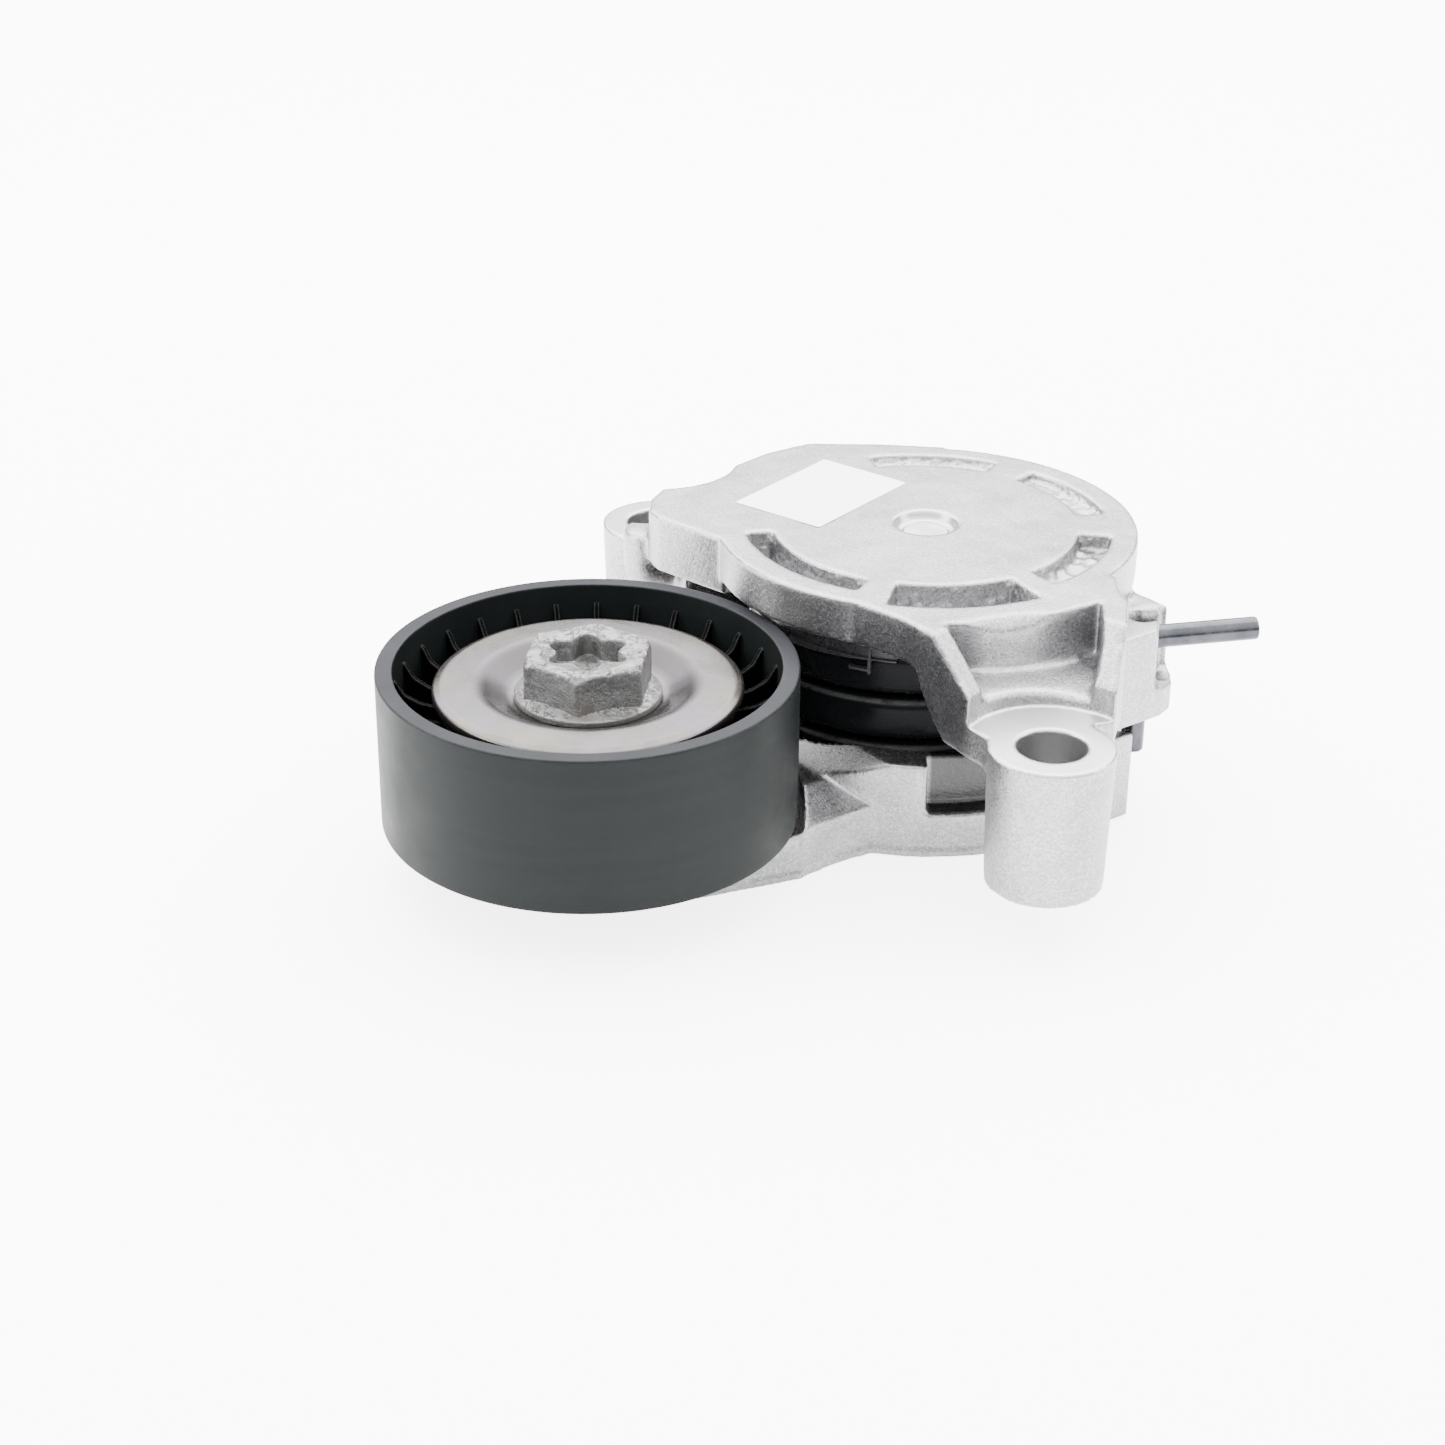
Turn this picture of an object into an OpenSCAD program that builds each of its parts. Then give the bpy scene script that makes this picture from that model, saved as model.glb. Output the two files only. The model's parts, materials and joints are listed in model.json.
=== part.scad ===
// Belt tensioner with an idler pulley on a sprung swing arm.
// Origin: the midpoint between the two mounting holes, on the mounting plane.
// +Z points away from the engine, along the bolts, the pivot and the pulley axis.
// +Y runs from the front mounting hole to the rear one; the arm lies along -X at rest.

/* [Mounting] */
// Distance between the two mounting holes
bolt_spacing = 104; // [100:0.5:108]
// Diameter of each mounting hole
bolt_hole_d = 10.6; // [9:0.1:11]
// Height of the mounting bosses
boss_h = 22.5; // [21.5:0.5:23.5]
// Diameter of a boss at its top
boss_top_d = 19.2; // [18:0.1:20]
// Diameter of a boss at the mounting plane
boss_foot_d = 18; // [17:0.1:19]
// Radius kept clear for the bolt head above a boss
head_clear_r = 13.4; // [12.5:0.1:14]

/* [Pivot] */
// Pivot axis from the line of the mounting holes
pivot_x = 20.5; // [19:0.5:22]
// Pivot axis from the midpoint, towards the rear hole
pivot_y = 3.8; // [2:0.1:6]
// Radius of the fixed pivot shaft
shaft_r = 7; // [6:0.1:7.4]
// Running clearance between shaft and bushes
bush_gap = 0.04; // [0.02:0.01:0.08]

/* [Housing] */
// Height of the housing's top face
top_z = 34; // [33:0.5:36]
// Height of the housing's underside above the spring
roof_z = 26.8; // [26.6:0.1:27.4]
// Radius of the round part of the housing
disc_r = 34.5; // [34:0.1:35.5]
// Radius of the space for the spring
spring_room_r = 30; // [29.6:0.1:30.5]
// Underside of the nose that reaches towards the rear boss
nose_z = 24.3; // [23.5:0.1:26]
// Underside of the web that carries the front boss
web_z = 16.8; // [15:0.1:18]

/* [Arm] */
// Distance from the pivot to the pulley axis
arm_length = 65.7; // [65.2:0.1:66.4]
// Height of the arm's flat back, which lies below the mounting plane
arm_back_z = -9; // [-10:0.5:-8.5]
// Height of the arm's floor
arm_floor_z = -1.5; // [-2:0.1:-1]
// Height of the cup's rim
rim_z = 7; // [6.5:0.1:8]
// Outer radius of the cup around the spring
cup_r = 35; // [34.5:0.1:35.5]
// Inner radius of the cup
cup_inner_r = 29; // [28.8:0.1:29.4]
// Radius of the arm's end under the pulley
arm_end_r = 15.4; // [14:0.1:15.4]

/* [Spring] */
// Diameter of the spring wire
wire_d = 7.6; // [7:0.1:7.8]
// Mean radius of the coils
coil_r = 24.5; // [24.2:0.1:24.8]
// Rise of one turn
coil_pitch = 8; // [7.9:0.1:8.2]
// Number of turns
coil_turns = 2.42; // [2:0.01:2.42]
// Angle of the lower end about the pivot
coil_start = 185; // [180:5:190]

/* [Pulley] */
// Diameter of the belt face
pulley_d = 65; // [60:0.5:65]
// Width of the belt face
pulley_w = 25.35; // [24:0.05:25.35]
// Height of the pulley's open front rim
pulley_top_z = 26; // [25.5:0.1:26]
// Thickness of the rim
rim_t = 2.74; // [2.5:0.01:3.5]
// Number of ribs on each side of the pulley's web
rib_count = 28; // [20:1:32]

/* [Bearing] */
// Bore of the bearing
bearing_bore = 17; // [15:1:17]
// Outer diameter of the bearing
bearing_od = 40; // [38:1:42]
// Width of the bearing
bearing_w = 12; // [12:0.5:12.5]
// Number of balls
ball_count = 8; // [7:1:8]

/* [Lock pin] */
// Diameter of the lock pin
lock_d = 3.8; // [3.5:0.1:4]
// Height of the lock pin's handle
lock_handle_z = 21.3; // [20:0.1:22]
// Height of the lock pin's tip
lock_tip_z = 1.5; // [1:0.5:3]

/* [Hidden] */
$fn = 96;
fit_gap = 0.02;                                  // static fits between pieces of one body
front_y = -bolt_spacing / 2;
rear_y = bolt_spacing / 2;
pulley_x = pivot_x - arm_length;
slab_t = top_z - roof_z;
hub_boss_z = 22;                                 // lower end of the housing's boss round the shaft
hub_boss_r = 13.5;
pulley_bottom_z = pulley_top_z - pulley_w;
pulley_r = pulley_d / 2;
rim_inner_r = pulley_r - rim_t;
pulley_room_r = pulley_r + 1;                    // arm and nose stay outside this beside the pulley
shield_t = 0.8;
bolt_seat_z = 20.6;                              // where the bolt's flange sits on the dust shield
bearing_top_z = bolt_seat_z - shield_t;
bearing_bottom_z = bearing_top_z - bearing_w;
bearing_mid_z = bearing_top_z - bearing_w / 2;
ball_ring_r = (bearing_bore + bearing_od) / 4;
ball_r = 3.37;
groove_r = 3.5;
ring_t = 3;                                      // thickness of each bearing ring
arm_post_z = bearing_bottom_z - shield_t;        // top of the arm's post under the bearing
tube_r = 13;                                     // the arm's tube round the shaft
raised_floor_z = 3;                              // the arm's floor between cup and pulley
tube_top_z = 20;
bush_r = 8.5;
shaft_head_z = -8.6;
shaft_head_h = 2.2;
head_pocket_z = -4.4;                            // roof of the pocket for the shaft's head
fork_z = 9.5;                                    // the fork that guides the locking pin
fork_top_z = 25.3;
lock_x = 38.4;
lock_y = -29.4;
lock_bend_r = 3;
lock_handle_len = 19.7;
lock_handle_angle = -23;

module at_pivot() {
    translate([pivot_x, pivot_y, 0]) children();
}

module at_pulley() {
    translate([pulley_x, pivot_y, 0]) children();
}

// A plain ring standing on height z
module ring(r_out, r_in, z, h) {
    translate([0, 0, z]) difference() {
        cylinder(r = r_out, h = h);
        translate([0, 0, -1]) cylinder(r = r_in, h = h + 2);
    }
}

// A curved channel between two radii and two angles, from height z up past the top face
module arc_channel(r_in, r_out, from, to, z, h) {
    rotate([0, 0, from]) rotate_extrude(angle = to - from)
        translate([r_in, z]) square([r_out - r_in, h]);
}

// ---- housing ----

module nose_outline() {
    polygon([[pivot_x, pivot_y], [-11.1, 16.3], [-13.2, 24.6], [-14.6, 30.4], [-14.1, 33.7],
             [-11, 37.7], [-7, 40.3], [9.9, 42.5], [17, 44], [26.1, 43.9], [36.1, 36.8],
             [45, 29]]);
}

module web_outline() {
    polygon([[pivot_x, pivot_y], [-9.8, -9.5], [-8.9, -13], [-7.2, -19.5], [-6.2, -24],
             [-6, -33], [-6.4, front_y + 4], [9, front_y + 2], [13.2, -51.2], [16.4, -48.2],
             [20, -45.3], [24.3, -40.8], [26.8, -38], [28.2, -34.6], [31.5, -30]]);
}

// The web in side view: it drops from the slab to web_z on its way to the boss
module web_side() {
    polygon([[10, roof_z], [-27, roof_z], [-28.4, 23.5], [-33.5, web_z], [front_y - 12, web_z],
             [front_y - 12, top_z], [10, top_z]]);
}

module along_x(x_from, x_to) {
    translate([x_from, 0, 0]) rotate([90, 0, 90]) linear_extrude(x_to - x_from) children();
}

module front_web() {
    intersection() {
        translate([0, 0, web_z - 1]) linear_extrude(top_z) web_outline();
        along_x(-20, 60) web_side();
    }
}

module web_pocket() {
    intersection() {
        translate([0, 0, roof_z - 5]) linear_extrude(20) difference() {
            polygon([[-2.4, -20], [-2.4, front_y + 4], [11.2, front_y + 4], [12.6, -46.6],
                     [17, -42.9], [21.1, -38.4], [24.5, -34], [24, -20]]);
            translate([pivot_x, pivot_y]) circle(r = 39.5);
        }
        along_x(-10, 40) polygon([[-20, 27.2], [front_y, 23.4], [front_y, 45], [-20, 45]]);
    }
}

module mounting_boss(y) {
    translate([0, y, 0]) cylinder(r1 = boss_foot_d / 2, r2 = boss_top_d / 2, h = boss_h);
}

// Room for the bolt head: a flat seat, a wall and a cone that lets the ridges run down
module head_room(y, wall_h) {
    translate([0, y, 0]) rotate_extrude()
        polygon([[0, boss_h], [head_clear_r, boss_h], [head_clear_r, boss_h + wall_h],
                 [28, top_z + 5], [0, top_z + 5]]);
}

// Rounded column at the end of the nose, in front of the rear boss
module nose_column() {
    translate([-9.5, 39.5, 0]) rotate_extrude()
        polygon([[0, 17], [2.6, 17], [4.4, 18.6], [5, 21], [5, 28], [0, 28]]);
}

module fork_outline() {
    polygon([[27, -26], [25, -35.3], [38.5, -35.3], [41.5, -34.2], [44.3, -31], [45.2, -29],
             [44.4, -22], [40, -17.5], [34, -18]]);
}

// Path of the locking pin: a hole for its leg and a slot for its handle, open to the outside
module pin_path() {
    slot_w = lock_d + 0.4;
    translate([lock_x, lock_y, 0]) {
        translate([0, 0, 5]) cylinder(d = slot_w + 0.4, h = 40, $fn = 48);
        translate([0, 0, 14.2]) rotate([0, 0, lock_handle_angle])
            translate([0.5, -slot_w / 2, 0]) cube([20, slot_w, 30]);
    }
}

module fork() {
    difference() {
        union() {
            translate([0, 0, fork_z]) linear_extrude(fork_top_z - fork_z) fork_outline();
            at_pivot() arc_channel(25, disc_r - 0.5, -75, -30, fork_z + 1, roof_z - fork_z);
        }
        // the front prong is cut off short
        translate([35.4, -36.5, 14.6]) rotate([0, 0, 45]) translate([0, -8, 0]) cube([12, 8, 20]);
    }
}

module housing() {
    color("silver") difference() {
        union() {
            translate([0, 0, roof_z]) linear_extrude(slab_t) {
                translate([pivot_x, pivot_y]) circle(r = disc_r);
                nose_outline();
            }
            difference() {
                union() {
                    front_web();
                    fork();
                    translate([0, 0, nose_z]) linear_extrude(roof_z - nose_z + 1) nose_outline();
                    nose_column();
                    translate([0, 0, 12]) linear_extrude(roof_z - 12 + 1)
                        polygon([[-7, 50], [-8.5, 31], [4, 30], [12, 37], [8, 50]]);
                }
                at_pivot() cylinder(r = spring_room_r, h = 60);
                at_pulley() cylinder(r = pulley_room_r, h = roof_z - 0.5);
            }
            mounting_boss(front_y);
            mounting_boss(rear_y);
            at_pivot() translate([0, 0, hub_boss_z]) cylinder(r = hub_boss_r, h = 6);
        }
        head_room(front_y, 4.4);
        translate([0, rear_y, boss_h]) cylinder(r = head_clear_r, h = 30);
        for (y = [front_y, rear_y])
            translate([0, y, -1]) cylinder(d = bolt_hole_d, h = 40);
        web_pocket();
        pin_path();
        // weight-saving channels round the top face
        at_pivot() {
            arc_channel(25.5, 29.8, 154, 210, 28.4, 10);
            arc_channel(25.3, 33.4, 221, 263, 29, 10);
            arc_channel(24.9, 30.2, 273, 315, 31, 10);
            arc_channel(25.5, 30, 334, 374, 32.4, 10);
            arc_channel(26, 30.3, 28, 70, 32.4, 10);
            // seat of the shaft, and its recess in the top face
            translate([0, 0, 20]) cylinder(r = 5 + fit_gap, h = 10, $fn = 64);
            translate([0, 0, 29]) cylinder(r = 3.7 + fit_gap, h = 10, $fn = 64);
            translate([0, 0, top_z - 1.5]) cylinder(r1 = 4.6, r2 = 5.3, h = 1.6, $fn = 64);
        }
    }
}

module pivot_shaft() {
    color("dimgray") at_pivot() {
        translate([0, 0, shaft_head_z]) cylinder(r = 11.5, h = shaft_head_h);
        translate([0, 0, shaft_head_z + 1]) cylinder(r = shaft_r, h = hub_boss_z - 1 - shaft_head_z);
        translate([0, 0, hub_boss_z - 1]) cylinder(r = 5, h = 9);
        translate([0, 0, 29]) cylinder(r = 3.7, h = top_z - 1.3 - 29);
    }
}

module spring_guide() {
    color("black") at_pivot() {
        ring(29.4, 14, roof_z - 1, 1 - fit_gap);
        ring(20.2, 18.4, 8, roof_z - 1.5 - 8 + 1);
    }
}

module barcode_label() {
    color("white") translate([14, 23.6, top_z]) rotate([0, 0, 17])
        translate([-12.5, -8.6, 0]) cube([25, 17.2, 0.1]);
}

// ---- arm ----

// Outline of the arm, grown by g; the flanks are symmetrical about the line from pivot to pulley
module arm_outline(g) {
    flank = [[pulley_x + 1, arm_end_r - 0.3], [-38.5, 18.4], [-21, 22.6], [-13.6, 21.8], [-5, 22.4]];
    last = len(flank) - 1;
    translate([pivot_x, pivot_y]) circle(r = cup_r + g);
    translate([pulley_x, pivot_y]) circle(r = arm_end_r + g);
    polygon(concat(
        [for (p = flank) [p[0], pivot_y - p[1] - g]],
        [for (i = [last : -1 : 0]) [flank[i][0], pivot_y + flank[i][1] + g]]));
}

// The arm rises from its flanks to a raised floor between cup and pulley
module arm_ramps() {
    along_x(-24, 0) polygon([[-18.4, arm_floor_z - 1], [-18.4, -0.6], [-10.2, 4], [17.8, 4],
                             [26, -0.6], [26, arm_floor_z - 1]]);
}

// The cup's rim comes down to the raised floor on the pulley's side
module rim_relief() {
    translate([0, 60, 0]) rotate([90, 0, 0]) linear_extrude(120)
        polygon([[-40, raised_floor_z], [-11.6, raised_floor_z], [-4.6, rim_z], [-4.6, 20], [-40, 20]]);
}

module lock_lug() {
    translate([0, 0, arm_back_z]) linear_extrude(6 - arm_back_z)
        polygon([[28.5, -27], [28.5, -32.3], [36, -32.3], [36, -31.2], [34.9, -29.8], [34.9, -26],
                 [34, -22]]);
}

module tensioner_arm() {
    color("gainsboro") difference() {
        union() {
            translate([0, 0, arm_back_z]) linear_extrude(arm_floor_z - arm_back_z) arm_outline(0);
            translate([0, 0, arm_back_z]) linear_extrude(1.2) arm_outline(0.4);
            difference() {
                union() {
                    at_pivot() translate([0, 0, arm_floor_z - 1])
                        cylinder(r = cup_r - 0.2, h = rim_z - arm_floor_z + 1);
                    arm_ramps();
                }
                at_pivot() cylinder(r = cup_inner_r, h = 60, center = true);
                at_pulley() translate([0, 0, arm_floor_z - 2]) cylinder(r = pulley_room_r, h = 30);
                rim_relief();
                // recess in the cup's outer wall
                at_pivot() arc_channel(31, 40, 233.5, 262, -2.4, 20);
            }
            at_pivot() translate([0, 0, arm_back_z + 1]) cylinder(r = tube_r, h = tube_top_z - arm_back_z - 1);
            at_pulley() translate([0, 0, arm_back_z + 1])
                cylinder(r1 = 11, r2 = 9.5, h = arm_post_z - arm_back_z - 1);
            lock_lug();
        }
        at_pivot() {
            translate([0, 0, -20]) cylinder(r = bush_r + fit_gap, h = 60, $fn = 64);
            translate([0, 0, arm_back_z - 1]) cylinder(r = 14, h = head_pocket_z - arm_back_z + 1);
        }
        at_pulley() translate([0, 0, arm_back_z - 1]) cylinder(r = 5 + fit_gap, h = 40, $fn = 64);
    }
}

module flanged_bush(z_flange, dir) {
    bush_len = 10;
    at_pivot() difference() {
        union() {
            translate([0, 0, dir > 0 ? z_flange : z_flange - bush_len])
                cylinder(r = bush_r, h = bush_len, $fn = 64);
            translate([0, 0, dir > 0 ? z_flange - 1 : z_flange])
                cylinder(r = 12, h = 1);
        }
        translate([0, 0, z_flange - 20]) cylinder(r = shaft_r + bush_gap, h = 40);
    }
}

module upper_bush() {
    color("peru") flanged_bush(tube_top_z, -1);
}

module lower_bush() {
    color("peru") flanged_bush(head_pocket_z, 1);
}

module friction_disc() {
    color("saddlebrown") at_pivot()
        ring(12.8, shaft_r + 0.3, tube_top_z + 1.02, hub_boss_z - tube_top_z - 1.06);
}

module torsion_spring() {
    steps = 32;
    sides = 12;
    rings = ceil(coil_turns * steps);
    z0 = arm_floor_z + wire_d / 2 + 0.1;
    pts = [for (i = [0 : rings]) let (t = coil_turns * i / rings)
        for (j = [0 : sides - 1])
            let (a = coil_start + 360 * t, b = 360 * j / sides, r = coil_r + wire_d / 2 * cos(b))
            [r * cos(a), r * sin(a), z0 + coil_pitch * t + wire_d / 2 * sin(b)]];
    side_faces = [for (i = [0 : rings - 1]) for (j = [0 : sides - 1])
        let (k = (j + 1) % sides)
        [i * sides + j, i * sides + k, (i + 1) * sides + k, (i + 1) * sides + j]];
    caps = [[for (j = [sides - 1 : -1 : 0]) j], [for (j = [0 : sides - 1]) rings * sides + j]];
    color("dimgray") at_pivot() polyhedron(points = pts, faces = concat(side_faces, caps));
}

// ---- pulley and bearing ----

module pulley() {
    hub_r = bearing_od / 2;
    hub_outer_r = 23;
    web_lo = 11.5;
    web_hi = 14.5;
    color("darkslategray") at_pulley() {
        rotate_extrude() polygon([
            [hub_r, bearing_bottom_z], [hub_outer_r, bearing_bottom_z], [hub_outer_r, web_lo],
            [rim_inner_r, web_lo], [rim_inner_r, pulley_bottom_z], [pulley_r, pulley_bottom_z],
            [pulley_r, pulley_top_z], [rim_inner_r, pulley_top_z], [rim_inner_r, web_hi],
            [hub_outer_r, web_hi], [hub_outer_r, bearing_top_z], [hub_r, bearing_top_z]]);
        for (i = [0 : rib_count - 1]) rotate([0, 0, i * 360 / rib_count + 54.8])
            translate([0, 0.5, 0]) rotate([90, 0, 0]) linear_extrude(1)
                polygon([[hub_outer_r - 1, 9], [rim_inner_r + 1, 4], [rim_inner_r + 1, 23.2],
                         [rim_inner_r - 0.9, 22.4], [rim_inner_r - 1.6, 20.5],
                         [rim_inner_r - 3.8, 19], [hub_outer_r - 1, 18]]);
    }
}

module bearing_ring(r_in, r_out) {
    rotate_extrude() difference() {
        translate([r_in, bearing_bottom_z]) square([r_out - r_in, bearing_w]);
        translate([ball_ring_r, bearing_mid_z]) circle(r = groove_r, $fn = 64);
    }
}

module bearing_outer_ring() {
    color("lightsteelblue") at_pulley() bearing_ring(bearing_od / 2 - ring_t, bearing_od / 2 - fit_gap);
}

module bearing_inner_ring() {
    color("lightsteelblue") at_pulley() bearing_ring(bearing_bore / 2 + fit_gap, bearing_bore / 2 + ring_t);
}

module bearing_balls() {
    color("gray") at_pulley() for (i = [0 : ball_count - 1]) rotate([0, 0, i * 360 / ball_count])
        translate([ball_ring_r, 0, bearing_mid_z]) sphere(r = ball_r, $fn = 48);
}

module bearing_cage() {
    color("tan") at_pulley() difference() {
        ring(ball_ring_r + 1.1, ball_ring_r - 1.1, bearing_mid_z - 1.6, 5.2);
        for (i = [0 : ball_count - 1]) rotate([0, 0, i * 360 / ball_count])
            translate([ball_ring_r, 0, bearing_mid_z]) sphere(r = ball_r + 0.08, $fn = 48);
    }
}

module bearing_seal(z) {
    at_pulley() ring(bearing_od / 2 - ring_t - fit_gap, bearing_bore / 2 + ring_t + 0.15, z, 0.9);
}

module bearing_front_seal() {
    color("black") bearing_seal(bearing_top_z - 1.2);
}

module bearing_rear_seal() {
    color("black") bearing_seal(bearing_bottom_z + 0.3);
}

module pulley_spacer() {
    color("gray") at_pulley()
        ring(bearing_bore / 2, 5.1, bearing_bottom_z, bearing_w - fit_gap);
}

module dust_shield() {
    z0 = bearing_top_z;
    z1 = 22.5;
    t = shield_t;
    color("silver") at_pulley() rotate_extrude() polygon([
        [5.2, z0], [12.4, z0], [16.6, z1], [22.6, z1], [23.15, z1 - 0.9], [23.95, z1 - 0.9],
        [23.95, z1 + 0.1], [22.9, z1 + t], [16.2, z1 + t], [12.0, z0 + t], [5.2, z0 + t]]);
}

module rear_shield() {
    color("silver") at_pulley() ring(18.5, 5.2, arm_post_z, shield_t - fit_gap);
}

module pulley_bolt() {
    head_af = 17;
    head_turn = 44.8;
    socket_r = 5.6;
    socket_lobe = 0.9;
    head_top_z = 28.3;
    flange_r = 11.2;
    color("lightgray") at_pulley() difference() {
        union() {
            translate([0, 0, -6]) cylinder(r = 5, h = bolt_seat_z + 6 + 1);
            translate([0, 0, bolt_seat_z]) cylinder(r = flange_r, h = 0.9);
            translate([0, 0, bolt_seat_z + 0.9]) cylinder(r1 = flange_r, r2 = 9, h = 0.8);
            intersection() {
                translate([0, 0, bolt_seat_z]) rotate([0, 0, head_turn])
                    cylinder(r = head_af / 2 / cos(30), h = head_top_z - bolt_seat_z, $fn = 6);
                translate([0, 0, bolt_seat_z - 1])
                    cylinder(r1 = 13.9, r2 = 8.4, h = head_top_z - bolt_seat_z + 1);
            }
        }
        // six-lobe drive socket
        translate([0, 0, head_top_z - 4.5]) rotate([0, 0, head_turn + 10]) linear_extrude(10)
            polygon([for (a = [0 : 5 : 355]) (socket_r + socket_lobe * cos(6 * a)) * [cos(a), sin(a)]]);
    }
}

module thrust_washer() {
    z0 = shaft_head_z + shaft_head_h + fit_gap;
    color("gray") at_pivot() ring(12.6, shaft_r + 0.3, z0, head_pocket_z - 1 - fit_gap - z0);
}

module locking_pin() {
    r = lock_d / 2;
    color("slategray") translate([lock_x, lock_y, 0]) rotate([0, 0, lock_handle_angle]) {
        translate([0, 0, lock_tip_z]) cylinder(r = r, h = lock_handle_z - lock_bend_r - lock_tip_z);
        translate([lock_bend_r, 0, lock_handle_z - lock_bend_r]) rotate([90, 0, 0])
            rotate([0, 0, 90]) rotate_extrude(angle = 90) translate([lock_bend_r, 0]) circle(r = r);
        translate([lock_bend_r, 0, lock_handle_z]) rotate([0, 90, 0])
            cylinder(r = r, h = lock_handle_len - lock_bend_r);
    }
}

housing();
pivot_shaft();
spring_guide();
barcode_label();
tensioner_arm();
upper_bush();
lower_bush();
friction_disc();
thrust_washer();
torsion_spring();
pulley();
bearing_outer_ring();
bearing_inner_ring();
bearing_balls();
bearing_cage();
bearing_front_seal();
bearing_rear_seal();
pulley_spacer();
dust_shield();
rear_shield();
pulley_bolt();
locking_pin();
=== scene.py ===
"""Belt tensioner with an idler pulley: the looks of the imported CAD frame.

The object's meshes are built in millimetres in the part's frame, and MM takes them into metres.
The lights and the camera are placed in metres.
"""

import json
import math

import bmesh
import bpy
import numpy as np
from mathutils import Matrix, Vector


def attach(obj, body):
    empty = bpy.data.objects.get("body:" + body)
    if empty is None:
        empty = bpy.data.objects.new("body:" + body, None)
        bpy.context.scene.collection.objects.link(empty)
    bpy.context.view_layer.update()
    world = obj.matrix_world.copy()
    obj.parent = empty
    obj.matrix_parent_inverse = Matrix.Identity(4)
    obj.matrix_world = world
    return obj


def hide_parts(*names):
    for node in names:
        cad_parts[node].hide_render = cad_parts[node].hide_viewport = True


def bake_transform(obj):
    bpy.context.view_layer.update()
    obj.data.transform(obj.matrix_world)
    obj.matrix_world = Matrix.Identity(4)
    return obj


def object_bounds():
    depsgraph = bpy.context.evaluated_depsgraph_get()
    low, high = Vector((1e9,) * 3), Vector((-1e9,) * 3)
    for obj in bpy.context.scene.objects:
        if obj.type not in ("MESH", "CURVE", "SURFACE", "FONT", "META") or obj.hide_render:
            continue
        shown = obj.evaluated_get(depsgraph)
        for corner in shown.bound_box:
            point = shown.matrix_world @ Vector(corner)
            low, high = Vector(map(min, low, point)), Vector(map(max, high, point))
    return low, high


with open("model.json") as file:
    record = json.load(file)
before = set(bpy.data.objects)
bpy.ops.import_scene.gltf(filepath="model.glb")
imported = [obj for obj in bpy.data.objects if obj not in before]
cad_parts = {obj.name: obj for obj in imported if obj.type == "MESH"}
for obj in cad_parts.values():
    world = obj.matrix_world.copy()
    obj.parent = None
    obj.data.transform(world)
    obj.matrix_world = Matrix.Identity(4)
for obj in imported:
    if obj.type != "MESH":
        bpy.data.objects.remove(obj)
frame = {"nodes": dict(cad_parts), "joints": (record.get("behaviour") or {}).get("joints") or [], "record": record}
cad_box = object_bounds()
NODES = frame["nodes"]
MM = 0.001

JOINTS = {joint["name"]: joint for joint in frame["joints"]}
MOUNTS = {mount["name"]: mount for mount in frame["record"]["mounts"]}
SLOT_OF = {part["node"]: part["material_slot"] for part in frame["record"]["subparts"]}


def axis_place(joint_name):
    """Where a joint's vertical axis stands, as (x, y) in millimetres."""
    return tuple(round(value / MM, 3) for value in JOINTS[joint_name]["pos_m"][:2])


PIVOT = axis_place("arm_swing")
PULLEY = axis_place("pulley_spin")
HOLE_SPACING = MOUNTS["mounting_holes"]["dims"]["spacing_y_mm"]
BOLT_HOLES = ((0.0, -HOLE_SPACING / 2), (0.0, HOLE_SPACING / 2))
BOSS_SEAT_Z = 22.5
FLOOR_GAP = 0.1
FLOOR_Z = round(cad_box[0].z / MM, 3) - FLOOR_GAP


# ---- mesh tools ----


def new_object(name, mesh, smooth=True):
    if smooth:
        mesh.shade_smooth()
    else:
        mesh.shade_flat()
    obj = bpy.data.objects.new(name, mesh)
    bpy.context.scene.collection.objects.link(obj)
    return obj


def mesh_from(name, verts, faces):
    """A mesh from vertices in millimetres, with its faces turned outwards."""
    mesh = bpy.data.meshes.new(name)
    mesh.from_pydata([Vector(v) * MM for v in verts], [], faces)
    bm = bmesh.new()
    bm.from_mesh(mesh)
    bmesh.ops.recalc_face_normals(bm, faces=bm.faces)
    bm.to_mesh(mesh)
    bm.free()
    return mesh


def filleted(points, steps=5):
    """A closed outline of (x, y, radius) corners as a list of points with rounded corners."""
    out = []
    count = len(points)
    for i, (x, y, radius) in enumerate(points):
        if radius <= 0:
            out.append((x, y))
            continue
        here = Vector((x, y))
        before = Vector(points[i - 1][:2]) - here
        after = Vector(points[(i + 1) % count][:2]) - here
        half = before.angle(after) / 2
        reach = min(radius / math.tan(half), before.length * 0.48, after.length * 0.48)
        start = here + before.normalized() * reach
        end = here + after.normalized() * reach
        for k in range(steps + 1):
            t = k / steps
            p = start.lerp(here, t).lerp(here.lerp(end, t), t)
            out.append((p.x, p.y))
    return out


def turned(centre, radius, angle, z):
    """The point at a radius and an angle about a vertical axis."""
    return centre[0] + radius * math.cos(angle), centre[1] + radius * math.sin(angle), z


def lathe(name, profile, centre):
    """Turns a closed (radius, z) outline about a vertical axis."""
    segments = 240
    count = len(profile)
    verts, faces = [], []
    for s in range(segments):
        verts += [turned(centre, r, math.tau * s / segments, z) for r, z in profile]
        t = (s + 1) % segments
        for i in range(count):
            j = (i + 1) % count
            faces.append((s * count + i, s * count + j, t * count + j, t * count + i))
    return new_object(name, mesh_from(name, verts, faces))


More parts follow.
